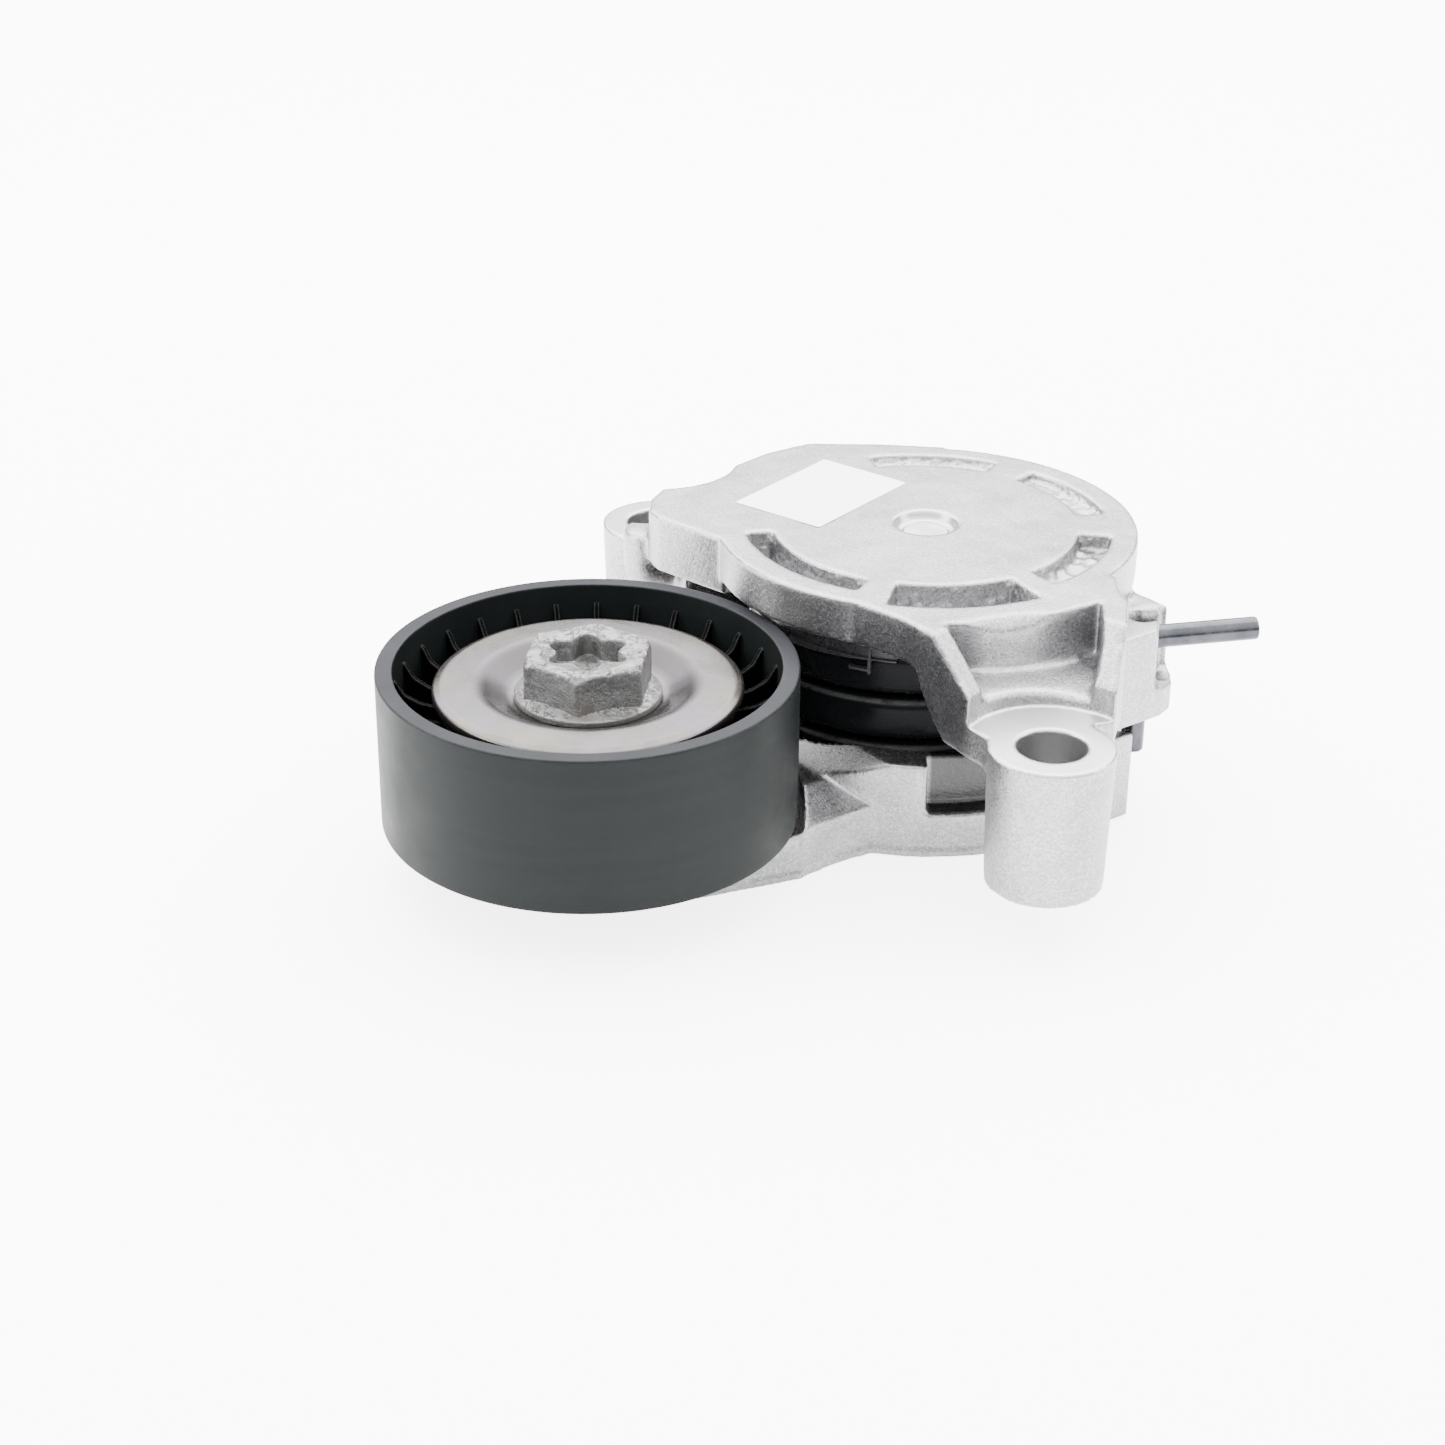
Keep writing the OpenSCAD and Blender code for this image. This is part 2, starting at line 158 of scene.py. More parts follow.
def stacked_rings(name, rings, centre):
    """A closed surface through rings of (radius, z) arrays, closed by a point at each end."""
    count = len(rings[0][0])
    angles = np.arange(count) * math.tau / count
    first, last = rings[0], rings[-1]
    verts = [(centre[0], centre[1], float(first[1].mean()))]
    for radius, z in rings:
        verts += list(zip(centre[0] + radius * np.cos(angles), centre[1] + radius * np.sin(angles), z))
    verts.append((centre[0], centre[1], float(last[1].mean())))
    end = 1 + (len(rings) - 1) * count
    faces = []
    for i in range(count):
        j = (i + 1) % count
        faces.append((0, 1 + i, 1 + j))
        for k in range(len(rings) - 1):
            near, far = 1 + k * count, 1 + (k + 1) * count
            faces.append((near + i, near + j, far + j, far + i))
        faces.append((end + i, end + j, len(verts) - 1))
    return new_object(name, mesh_from(name, verts, faces))


def bar_faces(steps, sides, base=0):
    """Faces of a solid bar through steps + 1 rings of points, of which vertex base is the first."""
    faces = []
    for i in range(steps):
        near, far = base + i * sides, base + (i + 1) * sides
        for j in range(sides):
            k = (j + 1) % sides
            faces.append((near + j, near + k, far + k, far + j))
    last = base + steps * sides
    faces.append(tuple(range(base, base + sides)))
    faces.append(tuple(range(last, last + sides)))
    return faces


def mark_sharp(obj, degrees):
    obj.data.set_sharp_from_angle(angle=math.radians(degrees))


def round_edges(obj, width, degrees):
    """Bevels the edges at which the surface turns by more than an angle."""
    bevel = obj.modifiers.new("edge", "BEVEL")
    bevel.width = width * MM
    bevel.segments = 2
    bevel.limit_method = "ANGLE"
    bevel.angle_limit = math.radians(degrees)


def coords(mesh):
    flat = np.empty(len(mesh.vertices) * 3)
    mesh.vertices.foreach_get("co", flat)
    return flat.reshape(-1, 3) / MM


def set_coords(mesh, co):
    mesh.vertices.foreach_set("co", (co * MM).ravel())
    mesh.update()


def push_out(mesh, height):
    """Moves each vertex along its normal by its height."""
    flat = np.empty(len(mesh.vertices) * 3)
    mesh.vertex_normals.foreach_get("vector", flat)
    set_coords(mesh, coords(mesh) + flat.reshape(-1, 3) * height[:, None])


def relax(mesh, rounds, weight):
    """Rounds edges off: each vertex moves towards the mean of its neighbours by its weight."""
    edges = np.empty(len(mesh.edges) * 2, dtype=np.int64)
    mesh.edges.foreach_get("vertices", edges)
    a, b = edges[0::2], edges[1::2]
    n = len(mesh.vertices)
    degree = np.bincount(a, minlength=n) + np.bincount(b, minlength=n)
    co = coords(mesh)
    for _ in range(rounds):
        mean = np.stack([
            np.bincount(a, co[b, k], n) + np.bincount(b, co[a, k], n) for k in range(3)
        ], 1) / degree[:, None]
        co += (mean - co) * 0.5 * weight[:, None]
    set_coords(mesh, co)


def waves(co, wavelength, seed):
    """Smooth random field of about unit height, from seeded plane waves."""
    count = 18
    rng = np.random.default_rng(seed)
    total = np.zeros(len(co))
    for _ in range(count):
        direction = rng.normal(size=3)
        direction /= np.linalg.norm(direction)
        k = math.tau / (wavelength * rng.uniform(0.6, 1.7))
        total += np.sin(co @ direction * k + rng.uniform(0, math.tau))
    return total / math.sqrt(count / 2)


def ramp_up(value, low, high):
    """0 up to low, 1 from high on, and a smooth step between them."""
    t = np.clip((value - low) / (high - low), 0, 1)
    return t * t * (3 - 2 * t)


def polar(co, centre):
    """Radius about a vertical axis, and the angle from 0 to 360 degrees."""
    dx, dy = co[:, 0] - centre[0], co[:, 1] - centre[1]
    return np.hypot(dx, dy), np.degrees(np.arctan2(dy, dx)) % 360


def in_box(co, low, high, soft):
    """1 inside a box, falling to 0 over a soft margin outside it."""
    mask = np.ones(len(co))
    for k in range(3):
        mask *= ramp_up(co[:, k], low[k] - soft, low[k]) * ramp_up(-co[:, k], -high[k] - soft, -high[k])
    return mask


def remeshed(name, node, voxel):
    """A fine even copy of a CAD node, made to be rounded and roughened."""
    obj = new_object(name, NODES[node].data.copy())
    remesh = obj.modifiers.new("even", "REMESH")
    remesh.mode = "VOXEL"
    remesh.voxel_size = voxel * MM
    graph = bpy.context.evaluated_depsgraph_get()
    mesh = bpy.data.meshes.new_from_object(obj.evaluated_get(graph))
    obj.modifiers.clear()
    obj.data = mesh
    mesh.materials.clear()
    mesh.shade_smooth()
    return obj


def softened(name, node, voxel, rounds):
    """A CAD node with all its edges rounded off."""
    obj = remeshed(name, node, voxel)
    relax(obj.data, rounds, np.ones(len(obj.data.vertices)))
    return obj


def store_machined(mesh, machined):
    """Keeps the mask of machined surfaces for the casting's material."""
    attribute = mesh.attributes.new("machined", "FLOAT", "POINT")
    attribute.data.foreach_set("value", machined.astype(np.float32))


# ---- castings ----

CAST_VOXEL = 0.36
MACHINED_HOLD = 0.8


def housing_machined(co):
    """1 on the boss seats, feet and bores and round the pivot shaft's end, 0 elsewhere."""
    seat_r, foot_r, bore_r = 13.3, 10, 5.7
    shaft_seat_r, shaft_seat_z = 5.6, 31
    close = 0.3
    z = co[:, 2]
    machined = np.zeros(len(co))
    for centre in BOLT_HOLES:
        r, _ = polar(co, centre)
        seat = (np.abs(z - BOSS_SEAT_Z) < close) & (r < seat_r)
        foot = (z < close) & (r < foot_r)
        machined[seat | foot | (r < bore_r)] = 1
    r, _ = polar(co, PIVOT)
    machined[(r < shaft_seat_r) & (z > shaft_seat_z)] = 1
    return machined


def channel_floors(co):
    """1 on the rough floors of the arc channels round the pivot, 0 elsewhere."""
    inner_r, outer_r, floor_z, rim_z, first_degrees = 24.5, 34, 28, 33.2, 20
    r, angle = polar(co, PIVOT)
    z = co[:, 2]
    floor = (r > inner_r) & (r < outer_r) & (z > floor_z) & (z < rim_z) & (angle > first_degrees)
    return floor.astype(float)


def cast_housing():
    obj = remeshed("housing_casting", "housing", CAST_VOXEL)
    mesh = obj.data
    co = coords(mesh)
    machined, floor = housing_machined(co), channel_floors(co)
    relax(mesh, 5, 1 - MACHINED_HOLD * machined)
    co = coords(mesh)
    pin_fork = in_box(co, (41, -30, 19), (48, -18, 30), 1.0)
    rear_web = in_box(co, (-16, 34, 14), (-5, 46, 30), 1.5)
    front_web = in_box(co, (-1, -46, 24), (19, -32, 33.2), 0.8)
    web_underside = in_box(co, (-30, -60, 15.5), (40, 50, 18.5), 1.0)
    well_rounded = np.maximum.reduce([pin_fork, rear_web, front_web, 0.8 * floor, 0.7 * web_underside])
    relax(mesh, 26, well_rounded * (1 - machined))
    co = coords(mesh)
    cast = 1 - machined
    height = 0.016 * waves(co, 9, 3) * cast + 0.005 * waves(co, 2.6, 4) * cast
    height += floor * (0.10 * waves(co, 2.4, 5) + 0.05 * waves(co, 1.3, 6))
    push_out(mesh, np.clip(height, -0.3, 0.3))
    store_machined(mesh, machined)
    return obj


def cast_arm():
    obj = remeshed("arm_casting", "tensioner_arm", CAST_VOXEL)
    mesh = obj.data
    co = coords(mesh)
    bush_bore_r, bolt_bore_r = 9.2, 5.4
    from_pivot, _ = polar(co, PIVOT)
    from_bolt, _ = polar(co, PULLEY)
    machined = ((from_pivot < bush_bore_r) | (from_bolt < bolt_bore_r)).astype(float)
    relax(mesh, 4, 1 - MACHINED_HOLD * machined)
    co = coords(mesh)
    cast = 1 - machined
    push_out(mesh, (0.018 * waves(co, 9, 13) + 0.006 * waves(co, 2.6, 14)) * cast)
    store_machined(mesh, machined)
    return obj


# ---- pulley, shield and bolt ----


def pulley_moulding():
    """Hub, web and rim, turned in one piece."""
    hub_r, hub_outer_r, rim_in, rim_out = 20.0, 23.0, 29.76, 32.5
    hub_lo, hub_hi, web_lo, web_hi, foot, top = 7.8, 19.8, 11.5, 14.5, 0.65, 26.0
    return lathe("pulley_moulding", filleted([
        (hub_r, hub_lo, 0.3), (hub_outer_r, hub_lo, 0.4), (hub_outer_r, web_lo, 0.8),
        (rim_in, web_lo, 0.8), (rim_in, foot, 0.4), (rim_out, foot, 0.5), (rim_out, top, 0.45),
        (rim_in, top, 0.3), (rim_in, web_hi, 0.8), (hub_outer_r, web_hi, 0.8),
        (hub_outer_r, hub_hi, 0.4), (hub_r, hub_hi, 0.3)]), PULLEY)


def pulley_ribs():
    """Thin ribs between the hub and the rim, a little thicker below the web than above it."""
    count, first = 28, math.radians(54.8)
    lower_width, upper_width, web_z = 1.0, 0.85, 12
    outline = filleted([
        (22.0, 9.0, 0), (30.6, 4.0, 0), (30.6, 23.4, 0), (29.3, 22.5, 0.5), (28.1, 20.4, 2.0),
        (25.6, 19.0, 2.0), (22.0, 18.2, 0)], 4)
    corners = len(outline)
    verts, faces = [], []
    for i in range(count):
        turn = Matrix.Translation((PULLEY[0], PULLEY[1], 0)) @ Matrix.Rotation(
            first + math.tau * i / count, 4, "Z")
        base = len(verts)
        for side in (-0.5, 0.5):
            for r, z in outline:
                width = lower_width if z < web_z else upper_width
                verts.append(turn @ Vector((r, side * width, z)))
        faces.append(tuple(reversed(range(base, base + corners))))
        faces.append(tuple(range(base + corners, base + 2 * corners)))
        for a in range(corners):
            b = (a + 1) % corners
            faces.append((base + a, base + b, base + corners + b, base + corners + a))
    ribs = new_object("pulley_ribs", mesh_from("pulley_ribs", verts, faces), smooth=False)
    round_edges(ribs, 0.16, 50)
    return ribs


def dust_shield():
    """Thin pressing with a dished middle and a rolled rim."""
    bore_r, seat_z, thick_z = 5.2, 19.82, 20.6
    return lathe("dust_shield_pressing", filleted([
        (bore_r, seat_z, 0), (12.2, seat_z, 2.6), (17.0, 22.5, 3.6), (22.3, 22.3, 0.7),
        (22.9, 21.4, 0.2), (23.9, 21.4, 0.2), (24.0, 22.6, 1.4), (22.6, 23.2, 1.8),
        (16.8, 23.4, 4.4), (12.0, thick_z, 3.4), (bore_r, thick_z, 0)], 10), PULLEY)


def forged_bolt():
    """Flanged hexagon head with a six-lobe socket, dented round its upper edge, and its shank."""
    count, turn, socket_turn = 480, math.radians(48), math.radians(10)
    flat_r, corner_cut, top, seat = 9.1, 1.14, 28.3, 20.6
    socket_r, lobe = 5.6, 0.9
    flange_r, flange_h, flange_slope = 11.4, 1.0, 0.34
    shank_r, tip = 5.0, -6.0
    angle = np.arange(count) * math.tau / count
    one = np.ones(count)
    from_corner = (angle - turn) % (math.pi / 3) - math.pi / 6
    hexagon = np.minimum(flat_r / np.cos(from_corner), flat_r * corner_cut)
    socket = socket_r + lobe * np.cos(6 * (angle - turn - socket_turn))
    chamfer = 0.8 * np.clip(hexagon - 9.5, 0, 2)
    cone_z = seat + flange_h + (flange_r - hexagon) * flange_slope
    land_r = 7.1
    # floor and walls of the socket
    rings = [(socket * f, one * (top - 4.2 + 0.25 * f)) for f in (0.2, 0.5, 0.8, 0.93)]
    rings += [(socket, one * (top - depth)) for depth in (3.8, 2.6, 1.4, 0.5)]
    rings += [(socket + 0.15, one * (top - 0.25)), (socket + 0.35, one * (top - 0.2))]
    rings += [(np.maximum(socket + 0.4, 6.9), one * (top - 0.2)), (one * land_r, one * top)]
    # top face and its worn edge
    rings += [(land_r + (hexagon - 0.6 - land_r) * f, one * top) for f in (0.2, 0.4, 0.6, 0.8, 0.9, 1.0)]
    rings += [(hexagon - inset, top - drop - chamfer * share) for inset, drop, share in (
        (0.45, 0.02, 0.3), (0.3, 0.06, 0.6), (0.16, 0.15, 0.8), (0.06, 0.28, 0.95), (0.0, 0.5, 1.0))]
    # the six flats
    wall_top = top - 0.5 - chamfer
    rings += [(hexagon, wall_top + (cone_z - wall_top) * f) for f in (
        0.05, 0.1, 0.16, 0.24, 0.34, 0.46, 0.6, 0.75, 0.9, 1.0)]
    # flange and shank
    rings += [(hexagon + (flange_r - 0.3 - hexagon) * f, cone_z + (seat + 1.05 - cone_z) * f)
              for f in (0.06, 0.3, 0.6, 1.0)]
    rings += [(one * r, one * z) for r, z in (
        (flange_r - 0.08, seat + 0.97), (flange_r, seat + 0.8), (flange_r, seat + 0.12),
        (flange_r - 0.1, seat), (shank_r + 0.3, seat), (shank_r, seat - 0.4),
        (shank_r, tip + 0.8), (shank_r - 0.7, tip), (shank_r * 0.5, tip))]
    obj = stacked_rings("pulley_bolt_forging", rings, PULLEY)
    mesh = obj.data
    co = coords(mesh)
    r, _ = polar(co, PULLEY)
    worn = ramp_up(co[:, 2], top - 2.2, top - 0.3) * ramp_up(r, 7.6, 8.9)
    dents = np.clip(waves(co, 1.1, 22) - 0.4, 0, 2) + 0.5 * np.clip(waves(co, 0.5, 23) - 0.3, 0, 2)
    skin = ramp_up(co[:, 2], seat + 0.1, seat + 0.6)
    push_out(mesh, skin * 0.012 * waves(co, 3.0, 21) - 0.07 * worn * dents)
    mark_sharp(obj, 50)
    return obj


# ---- spring, its seat and the label ----


def spring_seat_lip():
    """Skirt of the plastic spring guide: a lip above the top coil, and a hooked clip."""
    inner_r, wall_r, edge_r, roof, ledge = 28.45, 28.7, 29.2, 27.1, 22.35
    start, end, steps = math.radians(150), math.radians(223), 60
    level, rise, rise_from, rise_over = 20.7, 1.45, 178, 45
    verts = []
    for i in range(steps + 1):
        angle = start + (end - start) * i / steps
        low = level + rise * max(0, math.degrees(angle) - rise_from) / rise_over
        outline = ((inner_r, roof), (wall_r, roof), (wall_r, ledge), (edge_r - 0.05, ledge - 0.15),
                   (edge_r, ledge - 0.35), (edge_r, low + 0.1), (edge_r - 0.15, low), (inner_r, low))
        verts += [turned(PIVOT, r, angle, z) for r, z in outline]
    faces = bar_faces(steps, len(outline))
    # each step of the clip is its angle, its lower edge and its upper edge
    clip = ((208.0, 20.0, 20.6), (209.0, 20.0, 20.4), (214.1, 20.0, 20.4), (214.2, 19.6, roof),
            (215.0, 19.6, roof))
    clip_in, clip_out = 28.5, 29.45
    faces += bar_faces(len(clip) - 1, 4, len(verts))
    for degrees, low, high in clip:
        corners = ((clip_in, low), (clip_out, low), (clip_out, high), (clip_in, high))
        verts += [turned(PIVOT, r, math.radians(degrees), z) for r, z in corners]
    obj = new_object("spring_seat_lip", mesh_from("spring_seat_lip", verts, faces))
    mark_sharp(obj, 30)
    return obj


def rounded_square(b, half, power=0.52):
    """The point at parameter b on a square with well rounded corners."""
    return tuple(math.copysign(abs(v) ** power, v) * half for v in (math.cos(b), math.sin(b)))


def coil_spring():
    """A spring of square wire with rounded corners, cut straight at its ends."""
    wire_r, coil_r, pitch, turns, start, foot = 3.7, 24.5, 8.0, 2.42, 185.0, 2.4
    end_shrink = (0.86, 0.95, 0.99)
    steps_per_turn, sides = 72, 48
    steps = int(turns * steps_per_turn)
    verts = []
    for i in range(steps + 1):
        t = turns * i / steps
        angle = math.radians(start + 360 * t)
        from_end = min(i, steps - i)
        shrink = end_shrink[from_end] if from_end < len(end_shrink) else 1
        for j in range(sides):
            out, up = rounded_square(math.tau * j / sides, wire_r * shrink)
            verts.append(turned(PIVOT, coil_r + out, angle, foot + pitch * t + up))
    obj = new_object("spring_coils", mesh_from("spring_coils", verts, bar_faces(steps, sides)))
    mark_sharp(obj, 40)
    return obj


def paper_label():
    """Thin paper on the top face, with rounded corners and one corner just lifting."""
    across, along, thick, columns, rows = 25.0, 17.2, 0.1, 50, 34
    centre_x, centre_y, face_z, turn = 14.0, 23.6, 34.03, math.radians(17)
    verts, faces = [], []
    for layer in (0, 1):
        for j in range(rows + 1):
            for i in range(columns + 1):
                u, v = i / columns * 2 - 1, j / rows * 2 - 1
                x = u * across / 2 * (1 - 0.008 * max(0, abs(v) - 0.94) / 0.06)
                y = v * along / 2 * (1 - 0.012 * max(0, abs(u) - 0.96) / 0.04)
                lift = 0.25 * max(0, u + v - 1.55) ** 2 + 0.01 * math.sin(7 * u) * math.cos(5 * v)
                verts.append((centre_x + x * math.cos(turn) - y * math.sin(turn),
                              centre_y + x * math.sin(turn) + y * math.cos(turn),
                              face_z + layer * thick + lift))

    def index(layer, i, j):
        return layer * (columns + 1) * (rows + 1) + j * (columns + 1) + i

    for j in range(rows):
        for i in range(columns):
            for layer in (0, 1):
                faces.append((index(layer, i, j), index(layer, i + 1, j),
                              index(layer, i + 1, j + 1), index(layer, i, j + 1)))
    rim = [(i, 0) for i in range(columns)] + [(columns, j) for j in range(rows)]
    rim += [(i, rows) for i in range(columns, 0, -1)] + [(0, j) for j in range(rows, 0, -1)]
    for k, (i, j) in enumerate(rim):
        p, q = rim[(k + 1) % len(rim)]
        faces.append((index(0, i, j), index(0, p, q), index(1, p, q), index(1, i, j)))
    obj = new_object("label_paper", mesh_from("label_paper", verts, faces))
    mark_sharp(obj, 40)
    return obj


# ---- materials ----


class Shader:
    """Builds a procedural material on the part's own coordinates, in millimetres."""

    def __init__(self, name):
        self.material = bpy.data.materials.new(name)
        self.material.use_nodes = True
        self.tree = self.material.node_tree
        self.bsdf = self.tree.nodes["Principled BSDF"]
        texture = self.add("ShaderNodeTexCoord")
        self.place = self.vector("MULTIPLY", texture.outputs["Object"], (1 / MM, 1 / MM, 1 / MM))

    def add(self, kind, inputs=(), **settings):
        node = self.tree.nodes.new(kind)
        for key, value in settings.items():
            setattr(node, key, value)
        for key, value in dict(inputs).items():
            self.put(node.inputs[key], value)
        return node

    def put(self, socket, value):
        if isinstance(value, bpy.types.NodeSocket):
            self.tree.links.new(value, socket)
        else:
            socket.default_value = value

    def vector(self, operation, a, b):
        return self.add("ShaderNodeVectorMath", {0: a, 1: b}, operation=operation).outputs[0]

    def math(self, operation, a, b=0.0):
        return self.add("ShaderNodeMath", {0: a, 1: b}, operation=operation).outputs[0]

    def product(self, first, *others):
        for other in others:
            first = self.math("MULTIPLY", first, other)
        return first

    def attribute(self, name):
        return self.add("ShaderNodeAttribute", attribute_name=name).outputs["Fac"]

    def split(self, vector):
        """The x, y and z of a vector."""
        return self.add("ShaderNodeSeparateXYZ", {0: vector}).outputs

    def facing(self):
        """The x, y and z of the surface's normal."""
        return self.split(self.add("ShaderNodeNewGeometry").outputs["Normal"])

    def noise(self, size, detail=3.0, roughness=0.55, place=None, distortion=0.0):
        """Noise whose features are about size millimetres across."""
        return self.add("ShaderNodeTexNoise", {
            "Vector": place or self.place, "Scale": 1 / size, "Detail": detail,
            "Roughness": roughness, "Distortion": distortion}).outputs["Fac"]

    def span(self, value, low, high, to_low=0.0, to_high=1.0):
        """Takes low..high to to_low..to_high, and holds the ends beyond them."""
        return self.add("ShaderNodeMapRange", {
            "Value": value, "From Min": low, "From Max": high, "To Min": to_low, "To Max": to_high}
        ).outputs["Result"]

    def mix(self, factor, a, b):
        node = self.add("ShaderNodeMix", data_type="RGBA")
        self.put(node.inputs["Factor"], factor)
        self.put(node.inputs[6], a if isinstance(a, bpy.types.NodeSocket) else (*a, 1))
        self.put(node.inputs[7], b if isinstance(b, bpy.types.NodeSocket) else (*b, 1))
        return node.outputs[2]

    def over(self, colour, paint, mask, amount):
        """A colour with paint laid over it, where the mask is 1 and by no more than the amount."""
        return self.mix(self.product(mask, amount), colour, paint)

    def edges(self, radius):
        """1 on convex and concave edges, 0 on open surfaces."""
        bevel = self.add("ShaderNodeBevel", {"Radius": radius * MM}, samples=3)
        geometry = self.add("ShaderNodeNewGeometry")
        same = self.add("ShaderNodeVectorMath", {0: bevel.outputs[0], 1: geometry.outputs["Normal"]},
                        operation="DOT_PRODUCT").outputs["Value"]
        return self.span(same, 0.995, 0.90)

    def sheltered(self, reach):
        """1 in the open, falling to 0 deep in a hollow or beside a neighbour within reach."""
        return self.add("ShaderNodeAmbientOcclusion", {"Distance": reach * MM}, samples=3).outputs["AO"]

    def radius_from(self, centre):
        """Distance from a vertical axis, and the angle about it, in millimetres and radians."""
        x, y, _ = self.split(self.vector("SUBTRACT", self.place, (centre[0], centre[1], 0)))
        flat = self.add("ShaderNodeCombineXYZ", {0: x, 1: y}).outputs[0]
        radius = self.add("ShaderNodeVectorMath", {0: flat}, operation="LENGTH").outputs["Value"]
        return radius, self.math("ARCTAN2", y, x)

    def bump(self, height, depth, strength, normal=None):
        node = self.add("ShaderNodeBump", {"Height": height, "Distance": depth * MM, "Strength": strength})
        if normal is not None:
            self.put(node.inputs["Normal"], normal)
        return node.outputs["Normal"]

    def finish(self, colour, metallic, roughness, normal=None, **extra):
        self.put(self.bsdf.inputs["Base Color"], colour)
        self.put(self.bsdf.inputs["Metallic"], metallic)
        self.put(self.bsdf.inputs["Roughness"], roughness)
        if normal is not None:
            self.put(self.bsdf.inputs["Normal"], normal)
        for key, value in extra.items():
            self.put(self.bsdf.inputs[key.replace("_", " ")], value)
        return self.material


def grey(level):
    return (level, level, level)


def painted_shade_walls(s, machined):
    """Mask of the painted shade on the housing's walls that face the pulley and the spring."""
    normal_x, _, normal_z = s.facing()
    x, y, z = s.split(s.place)
    from_pivot, _ = s.radius_from(PIVOT)
    from_boss, _ = s.radius_from(BOLT_HOLES[0])
    channel = s.product(s.span(from_pivot, 32.5, 31.5), s.span(z, 27.5, 28.5))
    plain_skin = s.math("SUBTRACT", 1.0, s.math("MAXIMUM", machined, channel))
    return s.product(
        s.span(normal_x, -0.05, -0.35), s.span(s.math("ABSOLUTE", normal_z), 0.6, 0.35),
        s.span(z, 5, 12), s.span(x, 4, 1), s.span(y, 1.5, -3.5), plain_skin, s.span(from_boss, 12.6, 14.5))


def arm_pocket_shade(s):
    """Mask of the painted shade in the deep pocket in the front of the arm's cup."""
    reach, angle = s.radius_from(PIVOT)
    z = s.split(s.place)[2]
    return s.product(
        s.span(angle, -2.21, -2.18), s.span(angle, -1.69, -1.72), s.span(reach, 34.4, 33.8),
        s.span(z, -2.8, -2.2), s.span(z, 8, 7))


def cast_aluminium():
    """Die-cast skin with grain, stains and painted glints, painted shade on the walls beside the pulley and the
    spring, in the arm's pocket and in hollows, and paler machined faces.
    """
    s = Shader("cast_aluminium")
    machined = s.attribute("machined")
    cast = s.math("SUBTRACT", 1.0, machined)
    blotch = s.noise(14, 4, 0.6)
    stain = s.span(s.noise(5, 5, 0.65, distortion=0.6), 0.56, 0.74)
    grain = s.noise(0.42, 2.5, 0.65)
    crystals = s.add("ShaderNodeTexVoronoi", {"Vector": s.place, "Scale": 1 / 0.24}).outputs["Color"]
    glint = s.span(s.add("ShaderNodeSeparateColor", {0: crystals}).outputs[0], 0.70, 1.0)
    skin = s.mix(s.span(blotch, 0.32, 0.68), (0.30, 0.298, 0.303), (0.45, 0.446, 0.452))
    skin = s.over(skin, (0.24, 0.235, 0.235), stain, 0.25)
    skin = s.over(skin, (0.16, 0.16, 0.165), s.span(grain, 0.62, 0.36), 0.60)
    skin = s.over(skin, (0.72, 0.72, 0.73), glint, 0.35)
    cut = s.mix(s.noise(3, 3), (0.40, 0.395, 0.40), (0.48, 0.475, 0.48))
    colour = s.mix(machined, skin, cut)
    shaded_wall = painted_shade_walls(s, machined)
    # painted shade on the walls that face the pulley and the spring, with painted glints laid back over it
    colour = s.over(colour, (0.095, 0.096, 0.10), shaded_wall, 0.80)
    colour = s.over(colour, (0.30, 0.30, 0.31), s.product(shaded_wall, glint), 0.13)
    # painted shade in the arm's pocket
    colour = s.over(colour, grey(0.045), arm_pocket_shade(s), 0.9)
    # painted shade in hollows and beside neighbouring parts, from ambient occlusion
    colour = s.over(colour, grey(0.14), s.span(s.sheltered(14), 0.55, 0.15), 0.10)
    colour = s.over(colour, grey(0.62), s.edges(0.3), 0.22)
    rough = s.add("ShaderNodeMix", {"Factor": machined, 2: s.span(grain, 0.3, 0.7, 0.27, 0.40), 3: 0.33},
                  data_type="FLOAT").outputs[0]
    turning_marks = s.add("ShaderNodeTexWave", {
        "Vector": s.vector("SUBTRACT", s.place, (*BOLT_HOLES[0], 0)), "Scale": 1.1, "Distortion": 0.4},
        wave_type="RINGS", rings_direction="Z").outputs["Fac"]
    normal = s.bump(s.product(s.noise(2.2, 4, 0.6), cast), 0.06, 0.6)
    normal = s.bump(s.product(grain, cast), 0.10, 0.8, normal)
    normal = s.bump(s.product(glint, cast), 0.02, 0.6, normal)
    normal = s.bump(s.product(turning_marks, machined), 0.012, 0.5, normal)
    return s.finish(colour, 0.97, rough, normal)


